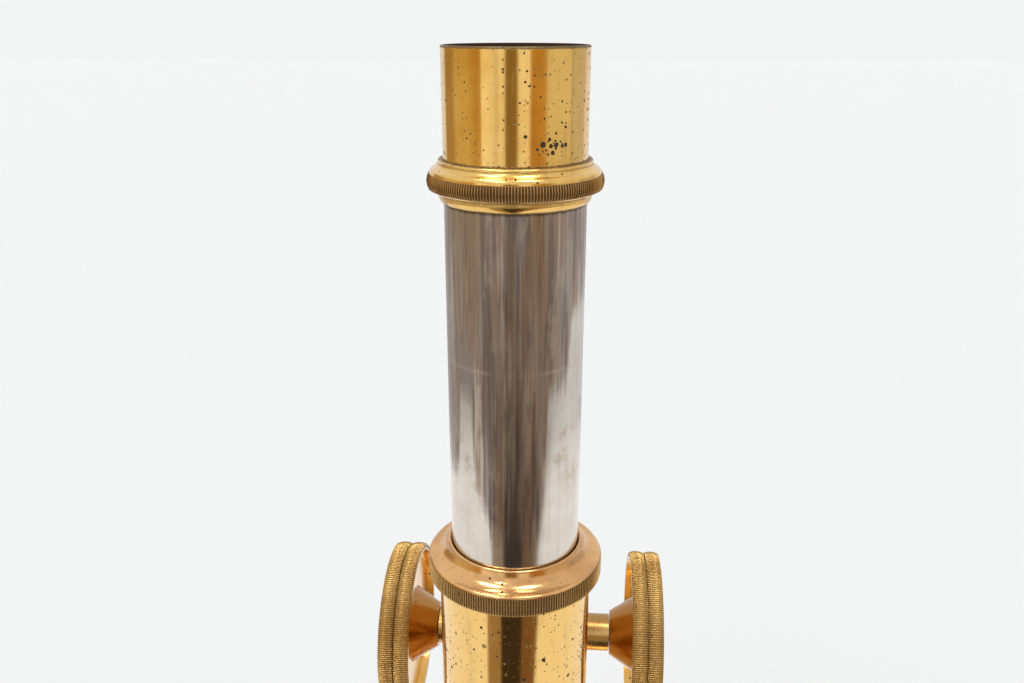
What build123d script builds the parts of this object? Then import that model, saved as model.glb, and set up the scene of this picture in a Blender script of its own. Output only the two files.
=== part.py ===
"""Large brass compound microscope on a claw foot, with a limb that inclines between two pillars.

Millimetres, +Z up. The origin is the middle of the foot's footprint, on the table.
The optical axis is vertical at rest, in front of the pillars (-Y); the limb and its knobs are behind it (+Y).
"""
import os
from math import acos, cos, pi, radians, sin, sqrt, tan

from build123d import *

os.makedirs("parts", exist_ok=True)

# ---------------------------------------------------------------- driving dimensions
optic_y = -50.0  # the optical axis stands at x = 0, y = optic_y
stage_top = 132.0
pinion_z = 290.0  # height of the coarse focus shaft
pinion_back = 42.0  # from the optical axis to that shaft
trunnion_z = 168.0
trunnion_back = 60.0
pillar_x = 29.0

eyepiece_r = 16.13  # bore for a 1.27 inch eyepiece
socket_r = 17.0
draw_r = 16.95
draw_bore_r = 16.35
body_r = 20.44
body_bore_r = 19.2
collar_top = pinion_z + 62.0
rim_top = collar_top + 125.8
ring_bottom = collar_top + 90.8

knob_r = 26.65
knob_inner_x = 34.7
knob_web_x = 36.8
knob_outer_x = 44.2
shaft_r = 3.0
neck_r = 6.0
running = 0.05  # radial clearance of every turning or sliding fit

gear_module = 0.8
pinion_teeth = 12
tooth_pitch = pi * gear_module
pitch_r = gear_module * pinion_teeth / 2
pressure_angle = radians(20)
rack_addendum = 0.5
pinion_addendum = 0.7
tooth_gap = 0.15  # root clearance
backlash = 0.1  # taken off the thickness of each tooth

foot_half_depth = 100.0
toe_r = 12.0
toe_x = 62.0
foot_top = 24.0
pad_height = 2.2

guide_half = 15.0
guide_front = 30.0
guide_back = 53.0
guide_bottom = 214.0
guide_top = 330.0
arm_half = 11.0

stage_r = 46.0
stage_thick = 6.0
base_top = stage_top - stage_thick - 0.1
bracket_top = base_top - 8.5
spigot_r = 23.9

tail_r = 6.5
tail_back = 62.0
tail_bottom = 30.0
mirror_z = 52.0
mirror_tilt = 35.0
objective_front = stage_top + 9.0
nose_face = 177.0  # shoulder that the objective screws up to
body_bottom = 199.0
fine_front = 30.0  # from the optical axis forward to the fine focus screw

snug = 0.01  # radial gap between pieces that are fixed together

bolt_r = 3.0
bolt_head_r = 5.5
bolt_head_h = 4.0
bolt_length = 28.0
pillar_top = trunnion_z - 18.0
spigot_pin_r = 4.0
spigot_pin_depth = 9.0
head_r = 15.0
head_inner_x = 23.0
head_thick = 11.0
head_outer_x = head_inner_x + head_thick
axle_r = 5.0
axle_end_x = 40.0
nut_r = 11.0
boss_r = 14.0
boss_half = head_inner_x - 0.2

arm_front = 49.0
arm_back = 74.0
bracket_front = 22.0
bracket_bottom = 107.0
groove_mouth = 8.1
groove_root = 10.1
groove_back = 36.0
groove_bottom = 200.0
rack_slot_half = 4.2
rack_slot_back = 38.2
tail_socket = 6.0

screw_head_r = 2.2
screw_head_h = 1.3
screw_shank_r = 1.3
cover_thick = 2.0
cover_half = 12.0
cover_half_height = 14.0
cover_screw_x = 8.5
cover_screw_rise = 10.5
stage_screw_x = 8.0
stage_screw_back = 34.0

tooth_face_half = 3.9
shaft_end_x = 41.0
bush_end_x = 28.2
hub_start_x = 28.4
screw_seat_x = 42.0
knob_screw_depth = 8.0

slide_front = 18.5
slide_mouth = 7.9
slide_root = 9.9
slide_back = 35.9
slide_bottom = 218.0
slide_top = 332.0
rack_half = 3.5
rack_front = 33.4
rack_pitch_line = pinion_back - pitch_r
rack_root = rack_pitch_line - pinion_addendum - tooth_gap
rack_tip = rack_pitch_line + rack_addendum
rack_bottom = 230.0
rack_top = 320.0

body_top = collar_top - 4.4
collar_r = 23.05  # milled bands are given at the root of their ridges
mouth_gap = 0.15
draw_guide_bottom = 300.0
draw_bottom = 318.0
socket_bottom = ring_bottom + 4.2
ring_r = 20.6

housing_bottom = 195.0
housing_top = 211.0
nose_r = 12.5
nose_bore_r = 10.0
nose_top = 225.0
nose_flange_r = 15.0
nose_flange_h = 6.0
fine_r = 2.2
fine_boss_r = 7.0
fine_head_r = 8.8
fine_head_bottom = 214.0
fine_head_top = 227.0
barrel_bottom = 152.0
barrel_bore_r = 7.0
objective_r = 12.3
front_lens_r = 2.6

stage_base_r = 42.0
pocket_r = spigot_r + running
aperture_r = 14.0
post_r = 1.6
wheel_r = 31.0
wheel_top = bracket_top - 1.0
wheel_thick = 1.8
wheel_holes = (9.5, 2.0, 3.5, 5.0, 6.5, 8.0)

substage_bottom = 84.0
substage_height = 18.0
substage_middle = substage_bottom + substage_height / 2
substage_r = 19.39
substage_ring_r = 22.4
slide_collar_r = 11.0
clamp_r = 1.6
clamp_head_r = 5.0

collar_half = 7.0
arm_pin_back = 44.0
arm_pin_r = 2.0
arm_eye_r = 5.0
lug_thick = 4.0
arm_front_back = 33.8
stem_r = 1.8
stem_length = 6.0
fork_inner_r = 28.0
fork_outer_r = 31.8
fork_half = 3.5
pivot_r = 1.4
pivot_head_r = 2.6
cell_r = 27.0
cell_half = 3.0
glass_r = 24.5

# ---------------------------------------------------------------- shared planes and axes
pinion_y = optic_y + pinion_back
trunnion_y = optic_y + trunnion_back
tail_y = optic_y + tail_back
fine_y = optic_y - fine_front
facing_front = dict(x_dir=(1, 0, 0), z_dir=(0, -1, 0))  # sketch x is +X and sketch y is +Z
optic_section = Plane(origin=(0, optic_y, 0), **facing_front)
optic_line = Axis((0, optic_y, 0), (0, 0, 1))
pinion_section = Plane(origin=(0, pinion_y, pinion_z), **facing_front)
pinion_line = Axis((0, pinion_y, pinion_z), (1, 0, 0))
trunnion_section = Plane(origin=(0, trunnion_y, trunnion_z), **facing_front)
trunnion_line = Axis((0, trunnion_y, trunnion_z), (1, 0, 0))
fine_section = Plane(origin=(0, fine_y, 0), **facing_front)
fine_line = Axis((0, fine_y, 0), (0, 0, 1))
# sketch x runs back from the optical axis and sketch y is the height
side_section = Plane(origin=(0, optic_y, 0), x_dir=(0, 1, 0), z_dir=(1, 0, 0))

cover_screw_points = [
    (x, optic_y + guide_back + cover_thick, pinion_z + rise)
    for x in (-cover_screw_x, cover_screw_x)
    for rise in (-cover_screw_rise, cover_screw_rise)
]

on_bottom = (Align.CENTER, Align.CENTER, Align.MIN)
on_top = (Align.CENTER, Align.CENTER, Align.MAX)


def cap_middle(rim_r, rim_height, apex_height):
    """The point half way out on a spherical cap, from its rim (radius, height) and its apex on the axis."""
    rise = apex_height - rim_height
    sphere_r = (rim_r**2 + rise**2) / (2 * abs(rise))
    drop = sphere_r - sqrt(sphere_r**2 - (rim_r / 2) ** 2)
    return (rim_r / 2, apex_height - drop * rise / abs(rise))


def save(piece, name):
    """Labels a finished piece and writes its STEP file."""
    piece.label = name
    export_step(piece, f"parts/{name}.step")


# ================================================================ stand
toes = [
    (0, foot_half_depth - toe_r),
    (-toe_x, toe_r - foot_half_depth),
    (toe_x, toe_r - foot_half_depth),
]
leg_root_r = 15.0
leg_top = foot_top - 3
leg_underside = 9.0
toe_top = 10.0
hub_r = 20.0


def claw_leg(toe):
    """One arched leg with a rounded crest, from the hub out to its toe."""
    root_x = toe[0] * 0.28
    reach = sqrt((toe[0] - root_x) ** 2 + (toe[1] - trunnion_y) ** 2)
    outward = (toe[0] - root_x, toe[1] - trunnion_y, 0)
    plan = Plane(origin=(root_x, trunnion_y, 0), x_dir=outward, z_dir=(0, 0, 1))
    upright = Plane(origin=plan.origin, x_dir=outward, z_dir=plan.y_dir * -1)
    with BuildPart() as leg:
        with BuildSketch(plan):
            Circle(leg_root_r)
            with Locations((reach, 0)):
                Circle(toe_r)
            make_hull()
        extrude(amount=leg_top)
        with BuildSketch(upright):
            with BuildLine():
                crest = Polyline((-leg_root_r, leg_underside), (-leg_root_r, leg_top), (14, leg_top))
                fall = Spline(crest @ 1, (reach - 10, toe_top), tangents=((1, 0), (1, -0.1)))
                end = Polyline(
                    fall @ 1,
                    (reach + leg_root_r, toe_top - 2),
                    (reach + leg_root_r, pad_height),
                    (reach - toe_r, pad_height),
                )
                ThreePointArc(end @ 1, (reach * 0.42, leg_underside - 1.5), (-leg_root_r, leg_underside))
            make_face()
        extrude(amount=2 * leg_root_r, both=True, mode=Mode.INTERSECT)
        top_faces = leg.faces().filter_by(lambda f: f.normal_at(f.center()).Z > 0.6)
        rim = [e for f in top_faces for e in f.outer_wire().edges()]
        side_rim = [e for e in rim if sum(e.is_same(o) for o in rim) == 1]
        fillet(side_rim, radius=2.2)
    return leg.part


legs = [claw_leg(toe) for toe in toes]

with BuildPart() as foot:
    with BuildSketch(Plane.XY.offset(leg_underside - 1)):
        with Locations((-pillar_x, trunnion_y), (pillar_x, trunnion_y)):
            Circle(hub_r)
        make_hull()
    extrude(amount=foot_top - leg_underside + 1)
    fillet(foot.faces().sort_by(Axis.Z)[-1].edges(), radius=2)
    add(legs)
    with Locations((-pillar_x, trunnion_y, leg_underside - 1), (pillar_x, trunnion_y, leg_underside - 1)):
        Cylinder(bolt_head_r + 0.3, bolt_head_h, align=on_bottom, mode=Mode.SUBTRACT)
        Cylinder(bolt_r + snug, foot_top, align=on_bottom, mode=Mode.SUBTRACT)
save(foot.part, "foot")

with BuildPart() as foot_pads:
    with Locations(*toes):
        Cylinder(toe_r - 1, pad_height, align=on_bottom)
save(foot_pads.part, "foot_pads")

with BuildPart() as pillar_bolts:
    for side in (-1, 1):
        with Locations((side * pillar_x, trunnion_y, leg_underside - 1)):
            Cylinder(bolt_head_r, bolt_head_h, align=on_bottom)
            Cylinder(bolt_r, bolt_length, align=on_bottom)
            Box(1.2, 12, 2.4, mode=Mode.SUBTRACT)
save(pillar_bolts.part, "pillar_bolts")

for side, hand in ((-1, "left"), (1, "right")):
    pillar_section = Plane(origin=(side * pillar_x, trunnion_y, 0), **facing_front)
    pillar_line = Axis((side * pillar_x, trunnion_y, 0), (0, 0, 1))
    with BuildPart() as pillar:
        with BuildSketch(pillar_section):
            with BuildLine():
                plinth = Polyline((0, foot_top), (14.5, foot_top), (14.5, foot_top + 3), (13.6, foot_top + 3.4))
                torus = ThreePointArc(plinth @ 1, (14.6, foot_top + 5.4), (13.6, foot_top + 7.4))
                step = Line(torus @ 1, (12, foot_top + 7.8))
                cavetto = ThreePointArc(step @ 1, (8.9, foot_top + 11), (7.8, foot_top + 16))
                low_step = Line(cavetto @ 1, (8.2, foot_top + 16.4))
                low_bead = ThreePointArc(low_step @ 1, (9.3, foot_top + 18), (8.2, foot_top + 19.6))
                shaft = Polyline(low_bead @ 1, (7.6, foot_top + 20), (6.2, 128), (7.2, 128.4))
                top_bead = ThreePointArc(shaft @ 1, (8.4, 130), (7.2, 131.6))
                neck = Polyline(top_bead @ 1, (6.2, 132), (6.2, 136))
                flare = ThreePointArc(neck @ 1, (7, 141.5), (9, pillar_top - 3))
                Polyline(flare @ 1, (9.3, pillar_top - 2.6), (9.3, pillar_top), (0, pillar_top), (0, foot_top))
            make_face()
        revolve(axis=pillar_line)
        with Locations((side * pillar_x, trunnion_y, foot_top)):
            Cylinder(bolt_r + snug, bolt_length, align=on_bottom, mode=Mode.SUBTRACT)
        with Locations((side * pillar_x, trunnion_y, pillar_top)):
            Cylinder(spigot_pin_r + snug, spigot_pin_depth + 0.2, align=on_top, mode=Mode.SUBTRACT)
    save(pillar.part, f"pillar_{hand}")

    with BuildPart() as pillar_head:
        with BuildSketch(Plane.YZ.offset(side * head_inner_x)):
            with Locations((trunnion_y, trunnion_z)):
                Circle(head_r)
            with Locations((trunnion_y, pillar_top)):
                Trapezoid(18, trunnion_z - pillar_top, 80, align=(Align.CENTER, Align.MIN))
            with Locations((trunnion_y, trunnion_z)):
                Circle(axle_r + snug, mode=Mode.SUBTRACT)
        extrude(amount=side * head_thick)
        rims = pillar_head.edges().filter_by(GeomType.CIRCLE).filter_by(lambda e: e.radius > head_r - 1)
        chamfer(rims, length=1)
        with Locations((side * pillar_x, trunnion_y, pillar_top)):
            Cylinder(spigot_pin_r, spigot_pin_depth, align=on_top)
    save(pillar_head.part, f"pillar_head_{hand}")

    with BuildPart() as trunnion_nut:
        with BuildSketch(trunnion_section):
            with BuildLine():
                nut_face = side * head_outer_x
                inner = Polyline(
                    (side * (axle_end_x + 0.1), 0),
                    (side * (axle_end_x + 0.1), axle_r + snug),
                    (nut_face, axle_r + snug),
                    (nut_face, 8.5),
                    (nut_face + side * 1.4, 9),
                    (nut_face + side * 1.8, nut_r - 0.3),
                    (nut_face + side * 2.1, nut_r),
                    (nut_face + side * 6.3, nut_r),
                    (nut_face + side * 6.7, nut_r - 0.4),
                )
                middle_r, middle_x = cap_middle(nut_r - 0.4, 6.7, 9.6)
                crown = ThreePointArc(
                    inner @ 1, (nut_face + side * middle_x, middle_r), (nut_face + side * 9.6, 0)
                )
                Line(crown @ 1, inner @ 0)
            make_face()
        revolve(axis=trunnion_line)
    save(trunnion_nut.part, f"trunnion_nut_{hand}")

with BuildPart() as trunnion_axle:
    with Locations(Plane(origin=(0, trunnion_y, trunnion_z), z_dir=(1, 0, 0))):
        Cylinder(axle_r, 2 * axle_end_x)
    chamfer(trunnion_axle.edges().filter_by(GeomType.CIRCLE), length=0.6)
save(trunnion_axle.part, "trunnion_axle")

# ================================================================ limb
with BuildPart() as limb:
    with BuildSketch(side_section):
        with BuildLine():
            front = Polyline((guide_front, guide_top), (guide_front, guide_bottom))
            throat = Spline(front @ 1, (arm_front, 168), (arm_front, 150), tangents=((0.25, -1), (0, -1)))
            bracket = Polyline(
                throat @ 1,
                (arm_front, bracket_top),
                (bracket_front, bracket_top),
                (bracket_front, bracket_bottom + 3),
                (bracket_front + 3, bracket_bottom),
                (arm_back, bracket_bottom),
                (arm_back, 160),
            )
            back = Spline(bracket @ 1, (guide_back, 226), tangents=((0, 1), (0, 1)))
            spine = Line(back @ 1, (guide_back, guide_top - 14))
            top = ThreePointArc(spine @ 1, (guide_back - 4.1, guide_top - 4.1), (guide_back - 14, guide_top))
            Line(top @ 1, front @ 0)
        make_face()
    extrude(amount=arm_half, both=True)
    arm_edges = limb.edges().filter_by(lambda e: abs(abs(e.center().X) - arm_half) < 0.01)
    back_edges = arm_edges.filter_by(lambda e: e.center().Y > optic_y + guide_back - 1)
    fillet(back_edges.filter_by(lambda e: e.length > 20), radius=2.5)
    with BuildSketch(Plane.XY.offset(guide_bottom)):
        with Locations((0, optic_y + (guide_front + guide_back - 7) / 2)):
            Rectangle(2 * guide_half, guide_back - 7 - guide_front)
    extrude(amount=guide_top - guide_bottom)
    with Locations(Plane(origin=(0, trunnion_y, trunnion_z), z_dir=(1, 0, 0))):
        Cylinder(boss_r, 2 * boss_half)
        Cylinder(axle_r + running, 2 * boss_half, mode=Mode.SUBTRACT)
    # dovetail groove and the slot behind it for the rack
    with BuildSketch(Plane.XY.offset(groove_bottom)):
        with BuildLine():
            Polyline(
                (-groove_mouth - 0.5, optic_y + guide_front - 3),
                (groove_mouth + 0.5, optic_y + guide_front - 3),
                (groove_mouth, optic_y + guide_front),
                (groove_root, optic_y + groove_back),
                (-groove_root, optic_y + groove_back),
                (-groove_mouth, optic_y + guide_front),
                close=True,
            )
        make_face()
        with Locations((0, optic_y + groove_back)):
            Rectangle(2 * rack_slot_half, rack_slot_back - groove_back, align=(Align.CENTER, Align.MIN))
    extrude(amount=guide_top - groove_bottom, mode=Mode.SUBTRACT)
    with Locations(Plane(origin=(0, pinion_y, pinion_z), z_dir=(1, 0, 0))):
        Cylinder(neck_r + snug, 2 * guide_half, mode=Mode.SUBTRACT)
    with Locations((0, tail_y, bracket_bottom)):
        Cylinder(tail_r + snug, tail_socket, align=on_bottom, mode=Mode.SUBTRACT)
    with Locations(*[(x, optic_y + stage_screw_back, bracket_bottom) for x in (-stage_screw_x, stage_screw_x)]):
        Cylinder(screw_head_r + 0.1, 3, align=on_bottom, mode=Mode.SUBTRACT)
        Cylinder(screw_shank_r + snug, 20, align=on_bottom, mode=Mode.SUBTRACT)
    with Locations(*[Plane(origin=point, z_dir=(0, -1, 0)) for point in cover_screw_points]):
        Cylinder(screw_shank_r + snug, cover_thick + 5.2, align=on_bottom, mode=Mode.SUBTRACT)
save(limb.part, "limb")

with BuildPart() as limb_cover:
    with Locations((0, optic_y + guide_back, pinion_z)):
        Box(2 * cover_half, cover_thick, 2 * cover_half_height, align=(Align.CENTER, Align.MIN, Align.CENTER))
    fillet(limb_cover.edges().filter_by(Axis.Y), radius=3)
    chamfer(limb_cover.faces().sort_by(Axis.Y)[-1].edges(), length=0.5)
    with Locations(*[Plane(origin=point, z_dir=(0, -1, 0)) for point in cover_screw_points]):
        Cylinder(screw_shank_r + snug, cover_thick, align=on_bottom, mode=Mode.SUBTRACT)
save(limb_cover.part, "limb_cover")


def slotted_screw(length):
    """Cheese-head screw, with its head above the plane and its shank below."""
    with BuildPart() as screw:
        Cylinder(screw_head_r, screw_head_h, align=on_bottom)
        chamfer(screw.edges().sort_by(Axis.Z)[-1], length=0.25)
        Cylinder(screw_shank_r, length, align=on_top)
        with Locations((0, 0, screw_head_h)):
            Box(0.7, 3 * screw_head_r, 1.2, mode=Mode.SUBTRACT)
    return screw.part


with BuildPart() as limb_cover_screws:
    with Locations(*[Plane(origin=point, z_dir=(0, 1, 0)) for point in cover_screw_points]):
        add(slotted_screw(cover_thick + 5))
save(limb_cover_screws.part, "limb_cover_screws")

with BuildPart() as stage_screws:
    screw_level = bracket_bottom + 3
    for x in (-stage_screw_x, stage_screw_x):
        with Locations(Plane(origin=(x, optic_y + stage_screw_back, screw_level), z_dir=(0, 0, -1))):
            add(slotted_screw(12))
save(stage_screws.part, "stage_screws")

# ================================================================ coarse focus
tooth_half_angle = (tooth_pitch / 2 - backlash) / 2 / pitch_r
gear_base_r = pitch_r * cos(pressure_angle)
root_r = pitch_r - rack_addendum - 0.2
tip_r = pitch_r + pinion_addendum


def involute(angle):
    return tan(angle) - angle


def flank_point(radius, side):
    """A point of the tooth's flank, with the tooth pointing along the sketch's x."""
    turn = tooth_half_angle + involute(pressure_angle) - involute(acos(min(1, gear_base_r / radius)))
    return (radius * cos(turn), side * radius * sin(turn))


with BuildSketch() as tooth:
    with BuildLine():
        flank_radii = [gear_base_r + (tip_r - gear_base_r) * step / 3 for step in range(4)]
        lower = Spline(*[flank_point(radius, -1) for radius in flank_radii])
        upper = Spline(*[flank_point(radius, 1) for radius in flank_radii])
        Line(lower @ 1, upper @ 1)
        foot_half_width = flank_point(gear_base_r, 1)[1]
        Polyline(lower @ 0, (root_r - 0.3, -foot_half_width), (root_r - 0.3, foot_half_width), upper @ 0)
    make_face()

shaft_plane = Plane(origin=(0, pinion_y, pinion_z), x_dir=(0, 1, 0), z_dir=(1, 0, 0))
with BuildPart() as pinion_shaft:
    with BuildSketch(shaft_plane):
        Circle(root_r)
        with PolarLocations(0, pinion_teeth):
            add(tooth.sketch)
    extrude(amount=tooth_face_half, both=True)
    with Locations(shaft_plane):
        Cylinder(shaft_r, 2 * shaft_end_x)
    with Locations(*[Plane(origin=(s * shaft_end_x, pinion_y, pinion_z), z_dir=(-s, 0, 0)) for s in (-1, 1)]):
        Cylinder(screw_shank_r + snug, knob_screw_depth, align=on_bottom, mode=Mode.SUBTRACT)
save(pinion_shaft.part, "pinion_shaft")

for side, hand in ((-1, "left"), (1, "right")):
    with BuildPart() as pinion_bush:
        with BuildSketch(pinion_section):
            with BuildLine():
                Polyline(
                    (side * 4.6, shaft_r + running),
                    (side * 4.6, neck_r),
                    (side * bush_end_x, neck_r),
                    (side * bush_end_x, shaft_r + running),
                    close=True,
                )
            make_face()
        revolve(axis=pinion_line)
    save(pinion_bush.part, f"pinion_bush_{hand}")

    # conical hub out of a dished inner face, then two crowned milled bands with a groove between, and a dished outer face
    mid_x = (knob_inner_x + knob_outer_x) / 2
    band_edge = knob_r - 0.6
    with BuildPart() as knob:
        with BuildSketch(pinion_section):
            with BuildLine():
                hub = Polyline(
                    (side * hub_start_x, shaft_r + snug),
                    (side * hub_start_x, 7.0),
                    (side * knob_web_x, 12.3),
                    (side * knob_web_x, knob_r - 2.6),
                    (side * knob_inner_x, knob_r - 2.1),
                    (side * knob_inner_x, band_edge),
                )
                inner_band = ThreePointArc(
                    hub @ 1, (side * (knob_inner_x + mid_x) / 2, knob_r), (side * (mid_x - 0.3), band_edge)
                )
                groove = Polyline(
                    inner_band @ 1,
                    (side * (mid_x - 0.1), knob_r - 1.5),
                    (side * (mid_x + 0.1), knob_r - 1.5),
                    (side * (mid_x + 0.3), band_edge),
                )
                outer_band = ThreePointArc(
                    groove @ 1, (side * (knob_outer_x + mid_x) / 2, knob_r), (side * knob_outer_x, band_edge)
                )
                rim = Polyline(
                    outer_band @ 1,
                    (side * knob_outer_x, knob_r - 3.6),
                    (side * (knob_outer_x - 0.6), knob_r - 4.4),
                )
                dish = ThreePointArc(
                    rim @ 1, (side * (knob_outer_x - 2.4), 14), (side * (knob_outer_x - 2.2), 8.4)
                )
                Polyline(
                    dish @ 1,
                    (side * (knob_outer_x - 0.4), 7.4),
                    (side * (knob_outer_x - 0.4), 4.6),
                    (side * screw_seat_x, 4.6),
                    (side * screw_seat_x, screw_shank_r + 0.2),
                    (side * (shaft_end_x + 0.05), screw_shank_r + 0.2),
                    (side * (shaft_end_x + 0.05), shaft_r + snug),
                    hub @ 0,
                )
            make_face()
        revolve(axis=pinion_line)
    save(knob.part, f"knob_{hand}")

with BuildPart() as knob_screws:
    for side in (-1, 1):
        with Locations(Plane(origin=(side * screw_seat_x, pinion_y, pinion_z), z_dir=(side, 0, 0))):
            add(slotted_screw(knob_screw_depth))
save(knob_screws.part, "knob_screws")

with BuildPart() as rack:
    with Locations((0, optic_y + rack_front, rack_bottom)):
        Box(
            2 * rack_half,
            rack_root - rack_front,
            rack_top - rack_bottom,
            align=(Align.CENTER, Align.MIN, Align.MIN),
        )
    root_half = (tooth_pitch / 2 - backlash) / 2 + (rack_pitch_line - rack_root) * tan(pressure_angle)
    tip_half = (tooth_pitch / 2 - backlash) / 2 - rack_addendum * tan(pressure_angle)
    with BuildSketch(side_section):
        # a space, not a tooth, stands level with the pinion's shaft
        teeth_below = int((pinion_z - rack_bottom) / tooth_pitch - 0.5)
        teeth_above = int((rack_top - pinion_z) / tooth_pitch - 0.5)
        for index in range(-teeth_below, teeth_above):
            height = pinion_z + (index + 0.5) * tooth_pitch
            with BuildLine():
                Polyline(
                    (rack_root - 0.1, height - root_half),
                    (rack_root, height - root_half),
                    (rack_tip, height - tip_half),
                    (rack_tip, height + tip_half),
                    (rack_root, height + root_half),
                    (rack_root - 0.1, height + root_half),
                    close=True,
                )
            make_face()
    extrude(amount=rack_half, both=True)
save(rack.part, "rack")

# ================================================================ body tube and draw tube
with BuildPart() as body_slide:
    with BuildSketch(Plane.XY.offset(slide_bottom)):
        with BuildLine():
            Polyline(
                (-slide_mouth, optic_y + slide_front),
                (slide_mouth, optic_y + slide_front),
                (slide_mouth, optic_y + guide_front + 0.2),
                (slide_root, optic_y + slide_back),
                (-slide_root, optic_y + slide_back),
                (-slide_mouth, optic_y + guide_front + 0.2),
                close=True,
            )
        make_face()
        with Locations((0, optic_y)):
            Circle(body_r + snug, mode=Mode.SUBTRACT)
        with Locations((0, optic_y + rack_front)):
            Rectangle(2 * (rack_half + snug), 4, align=(Align.CENTER, Align.MIN), mode=Mode.SUBTRACT)
    extrude(amount=slide_top - slide_bottom)
save(body_slide.part, "body_slide")

with BuildPart() as body_tube:
    with BuildSketch(Plane.XY.offset(body_bottom)):
        with Locations((0, optic_y)):
            Circle(body_r)
            Circle(body_bore_r, mode=Mode.SUBTRACT)
    extrude(amount=body_top - body_bottom)
save(body_tube.part, "body_tube")

with BuildPart() as body_collar:
    with BuildSketch(optic_section):
        with BuildLine():
            milled = Polyline(
                (body_r + snug, collar_top - 9.8),
                (collar_r - 0.4, collar_top - 9.8),
                (collar_r, collar_top - 9.5),
                (collar_r, collar_top - 4.75),
            )
            # rounded edge, then a hollow sweeping up to a small bead round the draw tube
            edge = ThreePointArc(milled @ 1, (22.8, collar_top - 4.25), (22.2, collar_top - 4.1))
            hollow = ThreePointArc(edge @ 1, (19.45, collar_top - 3.05), (18.0, collar_top - 0.5))
            mouth = ThreePointArc(hollow @ 1, (17.65, collar_top), (draw_r + mouth_gap, collar_top - 0.4))
            Polyline(
                mouth @ 1,
                (draw_r + mouth_gap, body_top),
                (body_r + snug, body_top),
                (body_r + snug, collar_top - 9.8),
            )
        make_face()
    revolve(axis=optic_line)
save(body_collar.part, "body_collar")

with BuildPart() as draw_guide:
    with BuildSketch(Plane.XY.offset(draw_guide_bottom)):
        with Locations((0, optic_y)):
            Circle(body_bore_r - snug)
            Circle(draw_r + 0.08, mode=Mode.SUBTRACT)
    extrude(amount=body_top - 0.1 - draw_guide_bottom)
save(draw_guide.part, "draw_guide")

with BuildPart() as draw_tube:
    with BuildSketch(Plane.XY.offset(draw_bottom)):
        with Locations((0, optic_y)):
            Circle(draw_r)
            Circle(draw_bore_r, mode=Mode.SUBTRACT)
    extrude(amount=socket_bottom - 0.1 - draw_bottom)
save(draw_tube.part, "draw_tube")

with BuildPart() as draw_diaphragm:
    with BuildSketch(Plane.XY.offset(draw_bottom + 2)):
        with Locations((0, optic_y)):
            Circle(draw_bore_r - snug)
            Circle(8.5, mode=Mode.SUBTRACT)
    extrude(amount=2)
save(draw_diaphragm.part, "draw_diaphragm")

with BuildPart() as eyepiece_ring:
    with BuildSketch(optic_section):
        with BuildLine():
            inside = Polyline(
                (socket_r + snug, ring_bottom + 9.9),
                (socket_r + snug, socket_bottom),
                (draw_r + snug, socket_bottom),
                (draw_r + snug, ring_bottom),
                (17.35, ring_bottom),
            )
            foot_bead = ThreePointArc(inside @ 1, (17.95, ring_bottom + 0.8), (18.15, ring_bottom + 1.9))
            milled = Polyline(
                foot_bead @ 1,
                (18.15, ring_bottom + 2.4),
                (ring_r - 1.1, ring_bottom + 2.7),
                (ring_r - 0.5, ring_bottom + 3.2),
            )
            barrel = ThreePointArc(milled @ 1, (ring_r, ring_bottom + 4.9), (ring_r - 0.4, ring_bottom + 6.6))
            # swelling shoulder, then a hollow up to a small bead round the cup
            swell = ThreePointArc(barrel @ 1, (19.95, ring_bottom + 7.55), (19.2, ring_bottom + 8.1))
            hollow = ThreePointArc(swell @ 1, (18.6, ring_bottom + 8.55), (18.25, ring_bottom + 9.2))
            top_bead = ThreePointArc(hollow @ 1, (18.05, ring_bottom + 9.75), (17.5, ring_bottom + 9.95))
            Line(top_bead @ 1, inside @ 0)
        make_face()
    revolve(axis=optic_line)
save(eyepiece_ring.part, "eyepiece_ring")

with BuildPart() as eyepiece_socket:
    with BuildSketch(optic_section):
        with BuildLine():
            wall = Polyline(
                (eyepiece_r, socket_bottom),
                (socket_r, socket_bottom),
                (socket_r, rim_top - 0.3),
                (socket_r - 0.25, rim_top),
            )
            Polyline(wall @ 1, (eyepiece_r, rim_top), (eyepiece_r, socket_bottom))
        make_face()
    revolve(axis=optic_line)
save(eyepiece_socket.part, "eyepiece_socket")

# ================================================================ nosepiece and objective
with BuildPart() as nose_housing:
    with BuildSketch(optic_section):
        with BuildLine():
            cap = Polyline(
                (nose_r + running, body_bottom),
                (nose_r + running, housing_bottom),
                (19.5, housing_bottom),
            )
            belly = ThreePointArc(cap @ 1, (22, housing_bottom + 1.4), (22.8, housing_bottom + 4))
            side_wall = Polyline(belly @ 1, (22.8, housing_top - 4.5), (21.8, housing_top - 4))
            band = ThreePointArc(side_wall @ 1, (22.9, housing_top - 2.2), (21.8, housing_top - 0.4))
            Polyline(
                band @ 1,
                (21.6, housing_top),
                (body_r + snug, housing_top),
                (body_r + snug, body_bottom),
                (nose_r + running, body_bottom),
            )
        make_face()
    revolve(axis=optic_line)
    with BuildSketch(Plane.XY.offset(housing_bottom)):
        with Locations((0, fine_y), (0, optic_y - nose_r - 3)):
            Circle(fine_boss_r)
        make_hull()
    extrude(amount=housing_top - housing_bottom)
    with Locations((0, optic_y, housing_bottom)):
        Cylinder(nose_r + running, 10, align=on_bottom, mode=Mode.SUBTRACT)
    with Locations((0, optic_y, body_bottom)):
        Cylinder(body_r + snug, housing_top - body_bottom, align=on_bottom, mode=Mode.SUBTRACT)
    with Locations((0, fine_y, housing_bottom)):
        Cylinder(fine_r + running, housing_top - housing_bottom, align=on_bottom, mode=Mode.SUBTRACT)
save(nose_housing.part, "nose_housing")

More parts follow.
